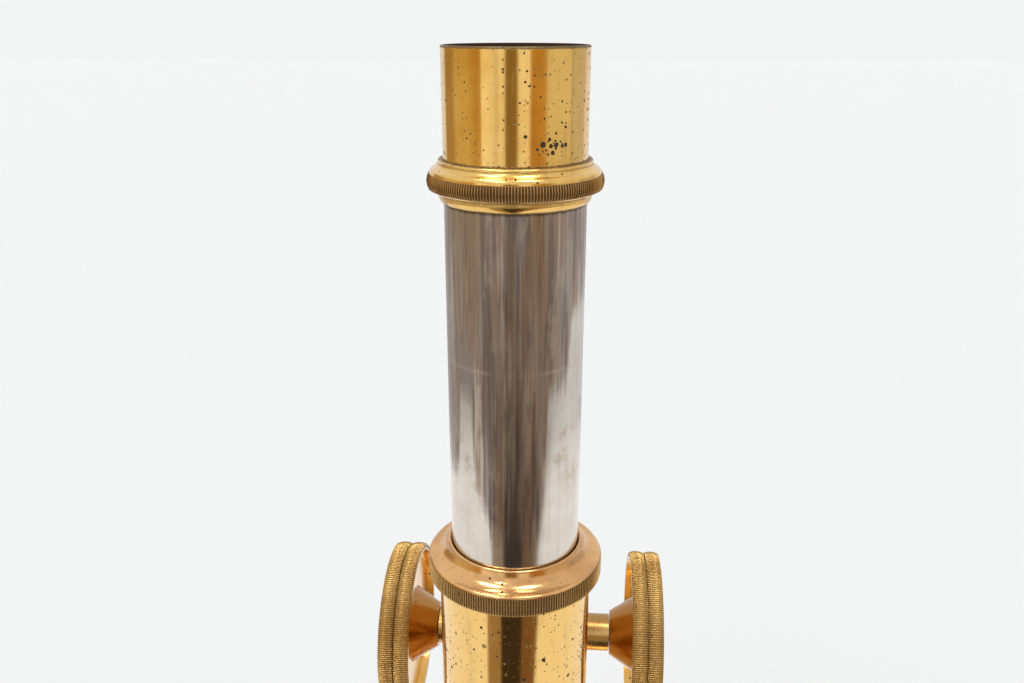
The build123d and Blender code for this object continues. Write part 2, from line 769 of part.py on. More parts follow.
with BuildPart() as nose_tube:
    with BuildSketch(Plane.XY.offset(nose_face)):
        with Locations((0, optic_y), (0, fine_y)):
            Circle(6.5)
        make_hull()
        with Locations((0, optic_y)):
            Circle(nose_flange_r)
    extrude(amount=nose_flange_h)
    fillet(nose_tube.faces().sort_by(Axis.Z)[-1].edges(), radius=0.8)
    with Locations((0, optic_y, nose_face)):
        Cylinder(nose_r, nose_top - nose_face, align=on_bottom)
        Cylinder(nose_bore_r, nose_top - nose_face, align=on_bottom, mode=Mode.SUBTRACT)
    with Locations((0, fine_y, nose_face)):
        Cylinder(fine_r + running, nose_flange_h, align=on_bottom, mode=Mode.SUBTRACT)
save(nose_tube.part, "nose_tube")

with BuildPart() as fine_focus_spindle:
    with Locations((0, fine_y, nose_face - 2)):
        Cylinder(fine_r, fine_head_top - 3 - nose_face + 2, align=on_bottom)
    with Locations((0, fine_y, housing_top + 0.3)):
        Cylinder(4.2, fine_head_bottom - housing_top - 0.3, align=on_bottom)
    chamfer(fine_focus_spindle.faces().sort_by(Axis.Z)[0].edges(), length=0.6)
save(fine_focus_spindle.part, "fine_focus_spindle")

with BuildPart() as fine_focus_head:
    with BuildSketch(fine_section):
        with BuildLine():
            skirt = Polyline(
                (0, fine_head_top - 3),
                (fine_r + snug, fine_head_top - 3),
                (fine_r + snug, fine_head_bottom),
                (5.5, fine_head_bottom),
                (5.9, fine_head_bottom + 2),
                (fine_head_r - 0.3, fine_head_bottom + 2.6),
                (fine_head_r, fine_head_bottom + 2.9),
                (fine_head_r, fine_head_top - 2.4),
                (fine_head_r - 0.4, fine_head_top - 2),
            )
            crown_middle = cap_middle(fine_head_r - 0.4, fine_head_top - 2, fine_head_top)
            crown = ThreePointArc(skirt @ 1, crown_middle, (0, fine_head_top))
            Line(crown @ 1, skirt @ 0)
        make_face()
    revolve(axis=fine_line)
save(fine_focus_head.part, "fine_focus_head")

with BuildPart() as objective_barrel:
    with BuildSketch(optic_section):
        with BuildLine():
            Polyline(
                (barrel_bore_r, barrel_bottom),
                (8.6, barrel_bottom),
                (8.6, barrel_bottom + 8),
                (9.4, barrel_bottom + 8.8),
                (9.4, nose_face - 9.6),
                (objective_r - 0.3, nose_face - 9.3),
                (objective_r, nose_face - 9),
                (objective_r, nose_face - 4.4),
                (objective_r - 0.3, nose_face - 4.1),
                (10.2, nose_face - 3.6),
                (10.2, nose_face - 1.2),
                (11.4, nose_face - 0.6),
                (11.4, nose_face),
                (nose_bore_r - snug, nose_face),
                (nose_bore_r - snug, nose_face + 5),
                (barrel_bore_r, nose_face + 5),
                close=True,
            )
        make_face()
    revolve(axis=optic_line)
save(objective_barrel.part, "objective_barrel")

with BuildPart() as objective_cell:
    with BuildSketch(optic_section):
        with BuildLine():
            Polyline(
                (front_lens_r + snug, objective_front),
                (4.2, objective_front),
                (4.8, objective_front + 0.5),
                (7.6, barrel_bottom - 1),
                (8.2, barrel_bottom),
                (barrel_bore_r - snug, barrel_bottom),
                (barrel_bore_r - snug, barrel_bottom + 5),
                (4.5, barrel_bottom + 5),
                (3.4, objective_front + 4),
                (front_lens_r + snug, objective_front + 2.2),
                close=True,
            )
        make_face()
    revolve(axis=optic_line)
save(objective_cell.part, "objective_cell")

with BuildPart() as objective_lenses:
    with BuildSketch(optic_section):
        with BuildLine():
            front_face = Polyline(
                (0, objective_front + 0.2),
                (front_lens_r, objective_front + 0.2),
                (front_lens_r, objective_front + 1.2),
            )
            dome_middle = cap_middle(front_lens_r, objective_front + 1.2, objective_front + 2.2)
            dome = ThreePointArc(front_face @ 1, dome_middle, (0, objective_front + 2.2))
            Line(dome @ 1, front_face @ 0)
        make_face()
        with BuildLine():
            back_face = Polyline(
                (0, barrel_bottom + 10),
                (barrel_bore_r - snug, barrel_bottom + 10),
                (barrel_bore_r - snug, barrel_bottom + 12),
            )
            bulge_middle = cap_middle(barrel_bore_r - snug, barrel_bottom + 12, barrel_bottom + 12.9)
            bulge = ThreePointArc(back_face @ 1, bulge_middle, (0, barrel_bottom + 12.9))
            Line(bulge @ 1, back_face @ 0)
        make_face()
    revolve(axis=optic_line)
save(objective_lenses.part, "objective_lenses")

# ================================================================ stage
wheel_x = -18.0
wheel_y = optic_y - 12.6
wheel_reach = sqrt(wheel_x**2 + (wheel_y - optic_y) ** 2)

with BuildPart() as stage_base:
    with Locations((0, optic_y, bracket_top)):
        Cylinder(stage_base_r, base_top - bracket_top, align=on_bottom)
    fillet(stage_base.faces().sort_by(Axis.Z)[0].edges(), radius=2.5)
    with Locations((0, optic_y, base_top)):
        Cylinder(pocket_r, base_top - bracket_top - 2.5, align=on_top, mode=Mode.SUBTRACT)
    with Locations((0, optic_y, bracket_top)):
        Cylinder(13, 2.5, align=on_bottom, mode=Mode.SUBTRACT)
    with Locations((wheel_x, wheel_y, bracket_top)):
        Cylinder(4, 0.9, align=on_top)
        Cylinder(screw_shank_r + running, 3.2, mode=Mode.SUBTRACT)
    with Locations(*[(x, optic_y + stage_screw_back, bracket_top) for x in (-stage_screw_x, stage_screw_x)]):
        Cylinder(screw_shank_r + snug, 5, align=on_bottom, mode=Mode.SUBTRACT)
save(stage_base.part, "stage_base")

post_x = 30.0
post_back = 22.0
post_places = [(s * post_x, optic_y + post_back) for s in (-1, 1)]
with BuildPart() as stage_disc:
    with Locations((0, optic_y, stage_top)):
        Cylinder(stage_r, stage_thick, align=on_top)
    stage_rims = stage_disc.edges().filter_by(GeomType.CIRCLE)
    chamfer(stage_rims, length=0.8)
    with Locations((0, optic_y, stage_top - stage_thick)):
        Cylinder(spigot_r, 5.9, align=on_top)
    with Locations((0, optic_y, stage_top)):
        Cylinder(aperture_r, 12, align=on_top, mode=Mode.SUBTRACT)
        Cylinder(aperture_r + 3, 0.4, align=on_top, mode=Mode.SUBTRACT)
    with Locations(*[(x, y, stage_top) for x, y in post_places]):
        Cylinder(post_r + snug, 5, align=on_top, mode=Mode.SUBTRACT)
save(stage_disc.part, "stage_disc")

leaf_tip_x = 12.0
leaf_tip_back = -5.0
leaf_length = sqrt((post_x - leaf_tip_x) ** 2 + (post_back - leaf_tip_back) ** 2)
for side, hand in ((-1, "left"), (1, "right")):
    post_place = (side * post_x, optic_y + post_back, stage_top)
    with BuildPart() as clip_post:
        with Locations(post_place):
            Cylinder(post_r, 5, align=on_top)
            Cylinder(3.6, 2, align=on_bottom)
            Cylinder(post_r, 8, align=on_bottom)
        with Locations((post_place[0], post_place[1], stage_top + 3.1)):
            Cylinder(4.2, 4.2, align=on_bottom)
        chamfer(clip_post.faces().sort_by(Axis.Z)[-1].edges(), length=0.4)
    save(clip_post.part, f"clip_post_{hand}")

    along = (-side * (post_x - leaf_tip_x), leaf_tip_back - post_back, 0)
    flat = Plane(origin=post_place, x_dir=along, z_dir=(0, 0, 1))
    upright = Plane(origin=post_place, x_dir=along, z_dir=flat.y_dir * -1)
    with BuildPart() as clip_leaf:
        with BuildSketch(flat):
            Circle(4)
            with Locations((leaf_length, 0)):
                Circle(2)
            make_hull()
        extrude(amount=5)
        with BuildSketch(upright):
            with BuildLine():
                top = Polyline((-5, 2.8), (6, 2.8), (leaf_length - 4, 0.9))
                tip = ThreePointArc(top @ 1, (leaf_length - 1.5, 0.95), (leaf_length + 3, 2.4))
                under = Line(tip @ 1, (leaf_length + 3, 1.8))
                heel = ThreePointArc(under @ 1, (leaf_length - 1.5, 0.35), (leaf_length - 4, 0.3))
                Polyline(heel @ 1, (6, 2.2), (-5, 2.2), (-5, 2.8))
            make_face()
        extrude(amount=6, both=True, mode=Mode.INTERSECT)
        with Locations(post_place):
            Cylinder(post_r + running, 5, align=on_bottom, mode=Mode.SUBTRACT)
    save(clip_leaf.part, f"clip_leaf_{hand}")

with BuildPart() as aperture_wheel:
    with Locations((wheel_x, wheel_y, wheel_top)):
        Cylinder(wheel_r, wheel_thick, align=on_top)
        Cylinder(screw_shank_r + running, wheel_thick, align=on_top, mode=Mode.SUBTRACT)
    for index, hole_r in enumerate(wheel_holes):
        turn = radians(index * 360 / len(wheel_holes)) + acos(-wheel_x / wheel_reach)
        centre = (wheel_x + wheel_reach * cos(turn), wheel_y + wheel_reach * sin(turn), wheel_top)
        with Locations(centre):
            Cylinder(hole_r, wheel_thick, align=on_top, mode=Mode.SUBTRACT)
save(aperture_wheel.part, "aperture_wheel")

with BuildPart() as wheel_screw:
    with Locations(Plane(origin=(wheel_x, wheel_y, wheel_top - wheel_thick - 0.1), z_dir=(0, 0, -1))):
        add(slotted_screw(4.2))
save(wheel_screw.part, "wheel_screw")

# ================================================================ tail, substage and mirror
tail_section = Plane(origin=(0, tail_y, 0), **facing_front)
with BuildPart() as tail_bar:
    with Locations((0, tail_y, tail_bottom)):
        Cylinder(tail_r, bracket_bottom + tail_socket - tail_bottom, align=on_bottom)
save(tail_bar.part, "tail_bar")

with BuildPart() as tail_end_cap:
    with BuildSketch(tail_section):
        with BuildLine():
            bead_middle = cap_middle(8, tail_bottom - 1, tail_bottom - 3.6)
            bead = ThreePointArc((0, tail_bottom - 3.6), bead_middle, (8, tail_bottom - 1))
            Polyline(bead @ 1, (8, tail_bottom), (0, tail_bottom), bead @ 0)
        make_face()
    revolve(axis=Axis((0, tail_y, 0), (0, 0, 1)))
save(tail_end_cap.part, "tail_end_cap")

with BuildPart() as substage_arm:
    with BuildSketch(Plane.XY.offset(substage_bottom + 4)):
        with Locations((0, optic_y), (0, tail_y)):
            Circle(8)
        make_hull()
    extrude(amount=10)
    fillet(substage_arm.edges().filter_by(Axis.Y), radius=2)
    with Locations((0, optic_y, substage_bottom)):
        Cylinder(substage_ring_r, substage_height, align=on_bottom)
    with Locations((0, tail_y, substage_bottom)):
        Cylinder(slide_collar_r, substage_height, align=on_bottom)
    round_rims = substage_arm.edges().filter_by(GeomType.CIRCLE).filter_by(lambda e: e.radius > 10)
    flat_rims = round_rims.filter_by(lambda e: abs(e.center().Z - substage_middle) > substage_height / 2 - 0.1)
    chamfer(flat_rims, length=0.7)
    with Locations((0, optic_y, substage_bottom)):
        Cylinder(substage_r, substage_height, align=on_bottom, mode=Mode.SUBTRACT)
    with Locations((0, tail_y, substage_bottom)):
        Cylinder(tail_r + running, substage_height, align=on_bottom, mode=Mode.SUBTRACT)
    with Locations(Plane(origin=(tail_r, tail_y, substage_middle), z_dir=(1, 0, 0))):
        Cylinder(clamp_r + snug, 8, align=on_bottom, mode=Mode.SUBTRACT)
save(substage_arm.part, "substage_arm")


def milled_clamp_screw():
    """Thumb screw, pointing down its own axis, with its head above the plane."""
    with BuildPart() as screw:
        Cylinder(clamp_r, slide_collar_r - tail_r - 0.5, align=on_top)
        Cylinder(3, 0.6, align=on_bottom)
        with Locations((0, 0, 0.6)):
            Cylinder(clamp_head_r, 4, align=on_bottom)
        chamfer(screw.edges().filter_by(GeomType.CIRCLE).filter_by(lambda e: e.radius > 4), length=0.4)
    return screw.part


with BuildPart() as substage_clamp_screw:
    with Locations(Plane(origin=(slide_collar_r, tail_y, substage_middle), z_dir=(1, 0, 0))):
        add(milled_clamp_screw())
save(substage_clamp_screw.part, "substage_clamp_screw")

with BuildPart() as mirror_clamp_screw:
    with Locations(Plane(origin=(slide_collar_r, tail_y, mirror_z), z_dir=(1, 0, 0))):
        add(milled_clamp_screw())
save(mirror_clamp_screw.part, "mirror_clamp_screw")

with BuildPart() as mirror_collar:
    with Locations((0, tail_y, mirror_z)):
        Cylinder(slide_collar_r, 2 * collar_half)
    chamfer(mirror_collar.edges().filter_by(GeomType.CIRCLE), length=0.7)
    with BuildSketch(Plane.XY.offset(mirror_z - collar_half)):
        with Locations((0, optic_y + arm_pin_back), (0, tail_y - tail_r)):
            Circle(arm_eye_r)
        make_hull()
    extrude(amount=lug_thick)
    with Locations((0, tail_y, mirror_z)):
        Cylinder(tail_r + running, 2 * collar_half, mode=Mode.SUBTRACT)
    with Locations((0, optic_y + arm_pin_back, mirror_z - collar_half)):
        Cylinder(arm_pin_r + snug, lug_thick, align=on_bottom, mode=Mode.SUBTRACT)
    with Locations(Plane(origin=(tail_r, tail_y, mirror_z), z_dir=(1, 0, 0))):
        Cylinder(clamp_r + snug, 8, align=on_bottom, mode=Mode.SUBTRACT)
save(mirror_collar.part, "mirror_collar")

arm_bottom = mirror_z - collar_half + lug_thick + 0.2
with BuildPart() as mirror_arm:
    with BuildSketch(Plane.XY.offset(arm_bottom)):
        with Locations((0, optic_y + arm_pin_back)):
            Circle(arm_eye_r)
        with Locations((0, optic_y + arm_front_back)):
            Rectangle(7, arm_pin_back - arm_front_back, align=(Align.CENTER, Align.MIN))
    extrude(amount=2 * (mirror_z - arm_bottom))
    with Locations((0, optic_y + arm_pin_back, mirror_z)):
        Cylinder(arm_pin_r + running, 20, mode=Mode.SUBTRACT)
    with Locations(Plane(origin=(0, optic_y + arm_front_back, mirror_z), z_dir=(0, 1, 0))):
        Cylinder(stem_r + running, stem_length + 0.3, align=on_bottom, mode=Mode.SUBTRACT)
save(mirror_arm.part, "mirror_arm")

with BuildPart() as mirror_arm_pin:
    with Locations((0, optic_y + arm_pin_back, mirror_z - collar_half)):
        Cylinder(arm_pin_r, 2 * mirror_z - arm_bottom - mirror_z + collar_half + 0.2, align=on_bottom)
    with Locations((0, optic_y + arm_pin_back, 2 * mirror_z - arm_bottom + 0.1)):
        Cylinder(3.6, 1.8, align=on_bottom)
    chamfer(mirror_arm_pin.faces().sort_by(Axis.Z)[-1].edges(), length=0.5)
save(mirror_arm_pin.part, "mirror_arm_pin")

with BuildPart() as mirror_fork:
    with BuildSketch(Plane.XY.offset(mirror_z - fork_half)):
        with Locations((0, optic_y)):
            Circle(fork_outer_r)
            Circle(fork_inner_r, mode=Mode.SUBTRACT)
        with Locations((0, optic_y - fork_half)):
            Rectangle(3 * fork_outer_r, fork_outer_r, align=(Align.CENTER, Align.MAX), mode=Mode.SUBTRACT)
    extrude(amount=2 * fork_half)
    chamfer(mirror_fork.edges().filter_by(GeomType.CIRCLE), length=0.8)
    with Locations(Plane(origin=(0, optic_y + fork_inner_r + 1.5, mirror_z), z_dir=(0, 1, 0))):
        Cylinder(3.8, arm_front_back - 0.2 - fork_inner_r - 1.5, align=on_bottom)
        Cylinder(stem_r, arm_front_back + stem_length - fork_inner_r - 1.5, align=on_bottom)
    with Locations(Plane(origin=(0, optic_y, mirror_z), z_dir=(1, 0, 0))):
        Cylinder(pivot_r + snug, 3 * fork_outer_r, mode=Mode.SUBTRACT)
save(mirror_fork.part, "mirror_fork")

with BuildPart() as mirror_pivot_screws:
    for side in (-1, 1):
        with Locations(Plane(origin=(side * fork_outer_r, optic_y, mirror_z), z_dir=(side, 0, 0))):
            Cylinder(pivot_r, fork_outer_r - cell_r + 2.5, align=on_top)
            Cylinder(pivot_head_r, 2.2, align=on_bottom)
save(mirror_pivot_screws.part, "mirror_pivot_screws")

# the mirror faces the light in front and throws it up the optical axis
tilt = radians(mirror_tilt)
mirror_plane_at = Plane(origin=(0, optic_y, mirror_z), x_dir=(1, 0, 0), z_dir=(0, -sin(tilt), cos(tilt)))
with BuildPart() as mirror_cell:
    with Locations(mirror_plane_at):
        Cylinder(cell_r, 2 * cell_half)
    chamfer(mirror_cell.edges().filter_by(GeomType.CIRCLE), length=0.6)
    with Locations(mirror_plane_at.offset(0.8), mirror_plane_at.offset(-0.8 - cell_half)):
        Cylinder(glass_r + snug, cell_half, align=on_bottom, mode=Mode.SUBTRACT)
    with Locations(Plane(origin=(0, optic_y, mirror_z), z_dir=(1, 0, 0))):
        for side in (-1, 1):
            with Locations((0, 0, side * cell_r)):
                Cylinder(pivot_r + running, 6, mode=Mode.SUBTRACT)
save(mirror_cell.part, "mirror_cell")

with BuildPart() as mirror_plane:
    with Locations(mirror_plane_at.offset(0.8)):
        Cylinder(glass_r, 1.6, align=on_bottom)
save(mirror_plane.part, "mirror_plane")

with BuildPart() as mirror_concave:
    with Locations(mirror_plane_at.offset(-0.8)):
        Cylinder(glass_r, 2.6, align=on_top)
    hollow_r = 90.0
    with Locations(mirror_plane_at.offset(-2.4 - hollow_r)):
        Sphere(hollow_r, mode=Mode.SUBTRACT)
save(mirror_concave.part, "mirror_concave")
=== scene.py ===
"""Looks of the brass microscope: finishes for its pieces, the milled bands, the studio and the camera."""

from math import cos, pi, radians, sin

import bpy
from mathutils import Matrix, Vector


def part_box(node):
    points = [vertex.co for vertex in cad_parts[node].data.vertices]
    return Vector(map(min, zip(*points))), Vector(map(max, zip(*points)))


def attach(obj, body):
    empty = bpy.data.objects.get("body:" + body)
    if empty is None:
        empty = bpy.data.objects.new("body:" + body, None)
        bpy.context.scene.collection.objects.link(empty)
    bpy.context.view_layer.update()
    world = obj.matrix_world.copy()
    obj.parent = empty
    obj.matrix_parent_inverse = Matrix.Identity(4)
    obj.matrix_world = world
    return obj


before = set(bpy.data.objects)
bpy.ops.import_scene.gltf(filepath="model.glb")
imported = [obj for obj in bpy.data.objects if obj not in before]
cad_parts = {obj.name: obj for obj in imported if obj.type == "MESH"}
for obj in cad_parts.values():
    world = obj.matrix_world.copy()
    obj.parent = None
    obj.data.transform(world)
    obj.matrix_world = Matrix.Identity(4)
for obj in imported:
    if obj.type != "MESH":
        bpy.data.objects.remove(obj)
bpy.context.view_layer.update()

MM = 0.001

# radii of the plain walls, and of the bands that the milling stands on
CUP_WALL = 17 * MM
TUBE_WALL = 20.44 * MM
RING_BAND = 20.6 * MM
COLLAR_BAND = 23.05 * MM
KNOB_BAND = 26.65 * MM
NUT_BAND = 11 * MM


# ---------------------------------------------------------------- places, read from the frame
def middle(node):
    """Middle of a node's box at rest."""
    low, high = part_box(node)
    return (low + high) / 2


ring_low, ring_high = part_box("eyepiece_ring")
cup_low, cup_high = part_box("eyepiece_socket")
collar_low, collar_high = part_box("body_collar")
optic = middle("body_tube")
knob_axis = middle("pinion_shaft")


# ---------------------------------------------------------------- shader kit
class Wire:
    """A value in a material, so that sums on values read as sums."""

    def __init__(self, finish, socket):
        self.finish = finish
        self.socket = socket

    def maths(self, operation, *others):
        return self.finish.node("ShaderNodeMath", {"operation": operation}, dict(enumerate((self, *others))))

    def __add__(self, other):
        return self.maths("ADD", other)

    __radd__ = __add__

    def __mul__(self, other):
        return self.maths("MULTIPLY", other)

    __rmul__ = __mul__

    def __sub__(self, other):
        return self.maths("SUBTRACT", other)

    def __rsub__(self, other):
        return self.finish.node("ShaderNodeMath", {"operation": "SUBTRACT"}, {0: other, 1: self})

    def __truediv__(self, other):
        return self.maths("DIVIDE", other)

    def __pow__(self, other):
        return self.maths("POWER", other)

    def rise(self, low, high):
        """0 below low, 1 above high and smooth between; low above high gives a fall."""
        ramp = {"interpolation_type": "SMOOTHSTEP"}
        ends = {1: low, 2: high, 3: 0.0, 4: 1.0} if low < high else {1: high, 2: low, 3: 1.0, 4: 0.0}
        return self.finish.node("ShaderNodeMapRange", ramp, {0: self, **ends})

    def between(self, low, high, soft):
        """1 between low and high, with edges as wide as twice soft."""
        return self.rise(low - soft, low + soft) * self.rise(high + soft, high - soft)


class Finish:
    """A node tree with one way of adding nodes."""

    def __init__(self, tree):
        self.tree = tree

    def node(self, kind, settings=None, values=None, out=0):
        made = self.tree.nodes.new(kind)
        for name, value in (settings or {}).items():
            if name == "stops":
                self.set_stops(made.color_ramp, value)
            else:
                setattr(made, name, value)
        for name, value in (values or {}).items():
            self.feed(made.inputs[name], value)
        return Wire(self, made.outputs[out])

    def set_stops(self, ramp, stops):
        while len(ramp.elements) < len(stops):
            ramp.elements.new(0.5)
        for element, (place, colour) in zip(ramp.elements, stops):
            element.position = place
            element.color = (*colour, 1) if isinstance(colour, tuple) else (colour, colour, colour, 1)

    def feed(self, socket, value):
        if isinstance(value, Wire):
            self.tree.links.new(value.socket, socket)
        else:
            socket.default_value = (*value, 1) if socket.type == "RGBA" and len(value) == 3 else value

    def place(self):
        """Object coordinates, in metres."""
        return self.node("ShaderNodeTexCoord", out="Object")

    def axes(self, vector):
        split = self.node("ShaderNodeSeparateXYZ", values={0: vector})
        outputs = split.socket.node.outputs
        return [Wire(self, outputs[axis]) for axis in range(3)]

    def turn(self, vector, centre):
        """Azimuth round a line along Z through centre, as 0 to 1, with 0.5 facing -Y."""
        x, y, _ = self.axes(self.shifted(vector, -centre))
        return x.maths("ARCTAN2", 0 - y) / (2 * pi) + 0.5

    def unrolled(self, vector, centre, radius):
        """The wall of a tube laid flat, in metres."""
        along = self.turn(vector, centre) * (2 * pi * radius)
        return self.node("ShaderNodeCombineXYZ", values={0: along, 1: self.axes(vector)[2]})

    def sweep(self, turn, values):
        """A value or colour for each azimuth in degrees, between stops."""
        stops = [((degrees + 180) / 360, value) for degrees, value in values]
        return self.node("ShaderNodeValToRGB", {"stops": stops}, {0: turn})

    def stretched(self, vector, x, y, z):
        return self.node("ShaderNodeVectorMath", {"operation": "MULTIPLY"}, {0: vector, 1: (x, y, z)})

    def shifted(self, vector, offset):
        return self.node("ShaderNodeVectorMath", {"operation": "ADD"}, {0: vector, 1: tuple(offset)})

    def length(self, vector):
        return self.node("ShaderNodeVectorMath", {"operation": "LENGTH"}, {0: vector}, out="Value")

    def noise(self, vector, scale=1.0, detail=2.0, rough=0.5):
        values = {"Vector": vector, "Scale": scale, "Detail": detail, "Roughness": rough}
        return self.node("ShaderNodeTexNoise", {"noise_dimensions": "3D"}, values)

    def blend(self, factor, first, second):
        return self.node("ShaderNodeMix", {"data_type": "RGBA"}, {0: factor, 6: first, 7: second}, out=2)

    def bump(self, height, strength, distance):
        values = {"Height": height, "Strength": strength, "Distance": distance}
        return self.node("ShaderNodeBump", values=values)


def new_finish(name, **constants):
    """A material with one Principled shader, and its Finish."""
    material = bpy.data.materials.new(name)
    material.use_nodes = True
    shader = material.node_tree.nodes["Principled BSDF"]
    for socket, value in constants.items():
        shader.inputs[socket.replace("_", " ")].default_value = value
    return material, Finish(material.node_tree), shader


def radius_round(finish, place, centre, axis):
    """Distance from a line through centre along X or Z."""
    factors = {"X": (0, 1, 1), "Z": (1, 1, 0)}[axis]
    return finish.length(finish.stretched(finish.shifted(place, -centre), *factors))


# ---------------------------------------------------------------- finishes
def spots(finish, place, per_metre, largest, share, flat=False):
    """Round pits through the lacquer: one in a share of the cells, with radii up to largest.

    place is in metres, and flat says that it lies on an unrolled wall.
    """
    reach = largest * per_metre
    wobble = finish.noise(place, 2600, 2)
    ways = {"feature": "F1", "voronoi_dimensions": "2D" if flat else "3D"}
    cells = {"Vector": place, "Scale": per_metre, "Randomness": 1.0}
    made = finish.node("ShaderNodeTexVoronoi", ways, cells, out="Distance")
    chance, luck, _ = finish.axes(Wire(finish, made.socket.node.outputs["Color"]))
    size = luck ** 2 * (0.65 * reach) + 0.35 * reach
    distance = made + (wobble - 0.5) * (0.35 * reach)
    inside = (size - distance).rise(0.0, 0.15 * reach)
    return inside * chance.rise(1 - share - 0.01, 1 - share + 0.01)


# the first brown is dirt, and also the painted shade in crevices and recesses
DIRT_AND_SHADE = (0.055, 0.028, 0.009)
PIT = (0.045, 0.026, 0.010)
POLISH = (0.46, 0.30, 0.10)
DEEP_AMBER = (0.36, 0.135, 0.022)


def brass(
    name, gold, shade, spotted=1.0, rough=0.16, coat=0.5, wall=None, grime_and_shade=None, cluster=None, toned=None
):
    """Lacquered brass: toned gold, dark pits, turning lines and fine scratches.

    A tube round the optical axis gives its wall's radius, so that its pits lie flat on the wall. The last three
    arguments are functions of (finish, place) that give masks: of brown dirt, which in crevices and recesses is
    also painted shade; of larger pits; and of deeper lacquer, which on the knobs' hubs also paints shade.
    """
    material, finish, shader = new_finish(name, Metallic=1.0, Coat_Roughness=0.08, Coat_IOR=1.45)
    place = finish.place()
    tone = finish.noise(place, 55, 4, 0.6)
    mottle = finish.noise(place, 420, 5, 0.62)
    streak = finish.noise(finish.stretched(place, 700, 700, 22), 1, 3, 0.6)
    colour = finish.blend(tone.rise(0.36, 0.68), gold, shade)
    worn = tuple(part * 1.08 for part in gold)
    colour = finish.blend(streak.rise(0.55, 0.8) * 0.45, colour, worn)
    deep = tuple(part * 0.62 for part in shade)
    colour = finish.blend(mottle.rise(0.56, 0.74) * 0.35, colour, deep)
    stain = finish.noise(finish.stretched(finish.shifted(place, (0.5, 0.2, 0.8)), 230, 230, 60), 1, 4, 0.6)
    colour = finish.blend(stain.rise(0.54, 0.70) * 0.30, colour, POLISH)
    spread = finish.noise(place, 90, 2).rise(0.36, 0.60)
    if wall:
        skin = finish.unrolled(place, optic, wall)
        fine = spots(finish, skin, 900, 0.34 * MM, 0.26 * spotted, flat=True) * (0.6 + 0.4 * spread)
        pits = spots(finish, skin, 420, 0.46 * MM, 0.22 * spotted, flat=True)
        elsewhere = finish.shifted(skin, (0.4, 0.3, 0))
        wide = spots(finish, elsewhere, 190, 0.66 * MM, 0.13 * spotted, flat=True)
        pits = pits.maths("MAXIMUM", fine)
    else:
        pits = spots(finish, place, 620, 0.42 * MM, 0.35 * spotted) * spread
        wide = spots(finish, place, 240, 0.8 * MM, 0.14 * spotted)
    dark = pits.maths("MAXIMUM", wide)
    if cluster:
        dark = dark.maths("MAXIMUM", cluster(finish, place))
    # deeper lacquer; on the knobs' hubs it is also painted shade
    if toned:
        colour = finish.blend(toned(finish, place), colour, DEEP_AMBER)
    bare = dark
    # brown dirt, which in crevices and recesses is also painted shade
    if grime_and_shade:
        dirt_and_shade = grime_and_shade(finish, place)
        colour = finish.blend(dirt_and_shade, colour, DIRT_AND_SHADE)
        bare = dark.maths("MAXIMUM", dirt_and_shade)
    finish.feed(shader.inputs["Base Color"], finish.blend(dark, colour, PIT))
    lines = finish.noise(finish.stretched(place, 160, 160, 5200), 1, 2, 0.5)
    scratch = finish.noise(finish.stretched(finish.shifted(place, (0.3, 0.1, 0.2)), 5200, 5200, 60), 1, 2)
    cut = scratch.rise(0.66, 0.72)
    gloss = tone * 0.06 + mottle * 0.10 + (rough - 0.08)
    finish.feed(shader.inputs["Roughness"], gloss + bare * 0.45 + cut * 0.10)
    finish.feed(shader.inputs["Coat Weight"], (1 - bare) * coat)
    finish.feed(shader.inputs["Metallic"], 1 - bare * 0.75)
    height = lines * 0.25 + mottle * 0.35 - dark * 1.2 - cut * 0.6
    finish.feed(shader.inputs["Normal"], finish.bump(height, 0.22, 0.02 * MM))
    return material


